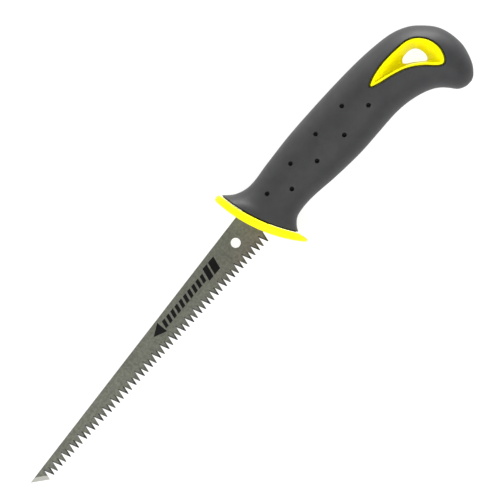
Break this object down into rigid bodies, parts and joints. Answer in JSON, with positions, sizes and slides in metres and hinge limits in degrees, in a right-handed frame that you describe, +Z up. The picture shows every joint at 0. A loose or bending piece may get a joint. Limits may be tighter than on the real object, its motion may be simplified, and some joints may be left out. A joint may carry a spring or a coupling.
{
  "type": "jab saw",
  "caption": "Pointed fixed-blade jab saw for plasterboard, with coarse teeth, a bent finger guard, a soft hooked grip and a lined hang hole.",
  "frame": {"origin": "middle of the underside of the bounding box, with the saw lying flat on its right side", "axes": "+X along the blade from the point to the butt of the handle, +Y from the teeth to the spine, +Z up, square to the blade's left side"},
  "size_m": [0.2758, 0.0542, 0.028],
  "materials": {
    "blade_steel": "satin, clear lacquered, ground teeth",
    "yellow_plastic": "smooth moulded polypropylene",
    "dark_soft_plastic": "matte moulded soft elastomer",
    "core_plastic": "moulded polypropylene, hidden",
    "pin_steel": "plain turned steel, hidden"
  },
  "bodies": {
    "root": {"blade": "blade_steel", "guard": "yellow_plastic", "grip": "dark_soft_plastic", "hang_hole_liner": "yellow_plastic", "core_left": "core_plastic", "core_right": "core_plastic", "tang_pin_front": "pin_steel", "tang_pin_rear": "pin_steel"}
  },
  "joints": []
}
